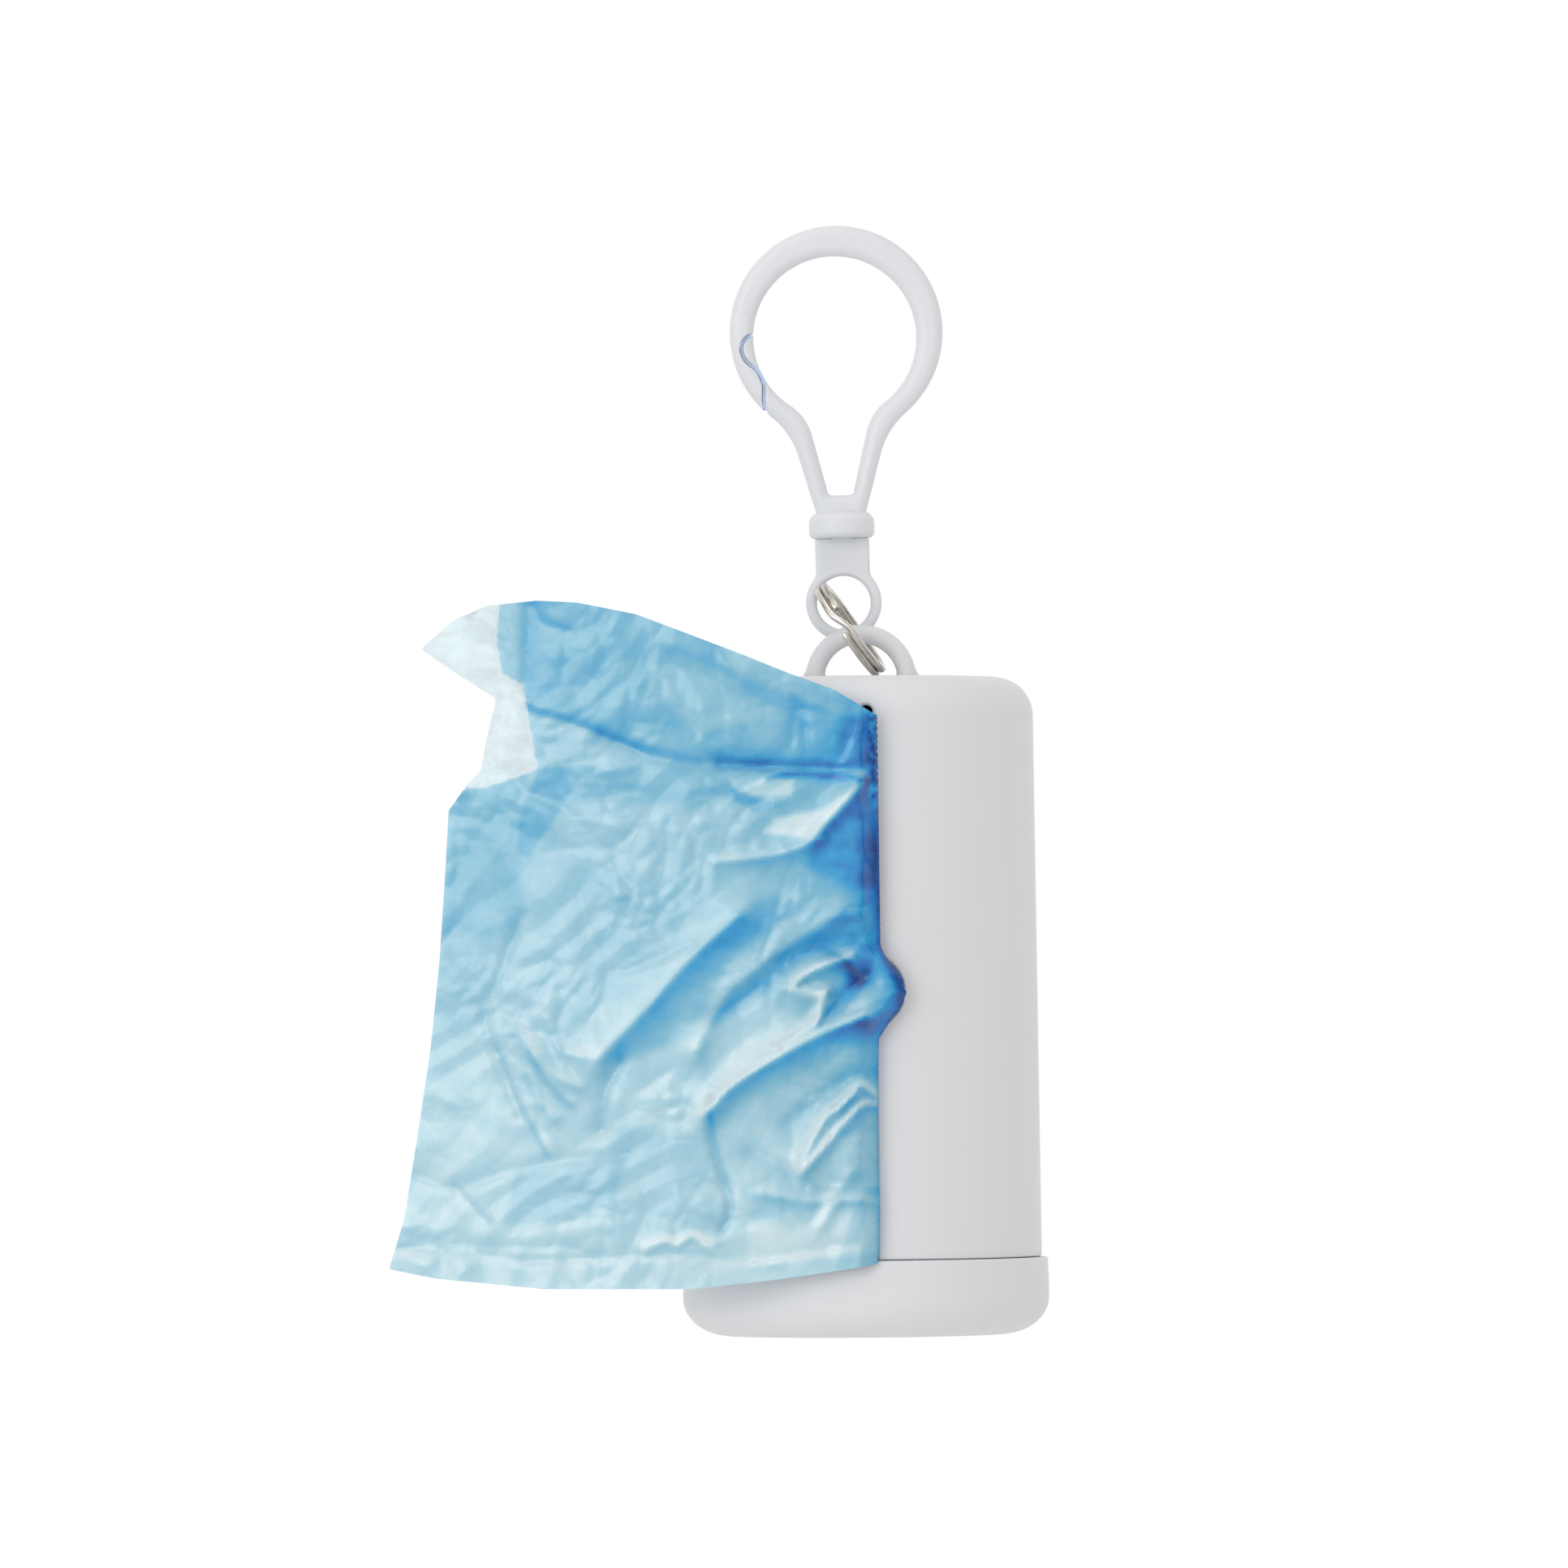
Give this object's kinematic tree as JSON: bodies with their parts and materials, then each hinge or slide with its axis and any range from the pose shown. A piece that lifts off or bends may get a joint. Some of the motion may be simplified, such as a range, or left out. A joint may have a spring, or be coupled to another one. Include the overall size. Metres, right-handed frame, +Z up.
{
  "type": "dog poop bag dispenser",
  "caption": "Round slotted case for a roll of dog waste bags, with a pull-off end cap, a loop, a split ring and a swivelling snap hook for a leash.",
  "frame": {"origin": "the inside of the top of the hook's bow, half way through its thickness, where it hangs on a leash ring", "axes": "+Z up along the case, +Y from the slotted front to the back, +X to the right seen from the front"},
  "size_m": [0.0756, 0.0436, 0.1275],
  "materials": {
    "casing_plastic": "white moulded plastic, satin",
    "clip_plastic": "white moulded plastic, slightly glossier than the case",
    "nickel": "bright nickel plate",
    "cardboard": "spiral-wound grey-brown board, matt",
    "wound_film": "many turns of blue film",
    "film": "thin translucent blue film, crumpled"
  },
  "bodies": {
    "hook": {"hook": "clip_plastic"},
    "gate": {"hook_gate": "clip_plastic"},
    "eye": {"swivel_eye": "clip_plastic"},
    "ring": {"split_ring": "nickel"},
    "case": {"casing": "casing_plastic"},
    "cap": {"end_cap": "casing_plastic"},
    "roll": {"core_tube": "cardboard", "bag_roll": "wound_film"},
    "bag": {"pulled_bag": "film"}
  },
  "joints": [
    {"name": "gate_spring", "type": "hinge", "parent": "hook", "child": "gate", "pos_m": [-0.00204, 0, -0.0264], "axis": [0, 1, 0], "range_deg": [0, 16], "stiffness_Nm_per_rad": 0.02},
    {"name": "hook_swivel", "type": "hinge", "parent": "hook", "child": "eye", "pos_m": [0.00097, 0, -0.03994], "axis": [-0.0201, 0, 0.9998], "continuous": true},
    {"name": "ring_swing", "type": "hinge", "parent": "eye", "child": "ring", "pos_m": [0.00157, -0.0036, -0.04319], "axis": [0.8201, -0.0993, 0.5636], "range_deg": [-30, 30]},
    {"name": "case_swing", "type": "hinge", "parent": "ring", "child": "case", "pos_m": [0.00467, -0.0038, -0.04768], "axis": [0, 1, 0], "range_deg": [-12, 12]},
    {"name": "cap_pull", "type": "slide", "parent": "case", "child": "cap", "axis": [0, 0, -1], "range_m": [0, 0.03]},
    {"name": "bag_pull", "type": "slide", "parent": "case", "child": "bag", "axis": [0, -1, 0], "range_m": [0, 0.06]},
    {"name": "roll_spin", "type": "hinge", "parent": "case", "child": "roll", "pos_m": [0.00277, -0.0038, -0.09408], "axis": [0, 0, 1], "range_deg": [-225, 225]}
  ],
  "couplings": [
    {"joint": "roll_spin", "follows": "bag_pull", "rad_per_m": -64.516}
  ]
}
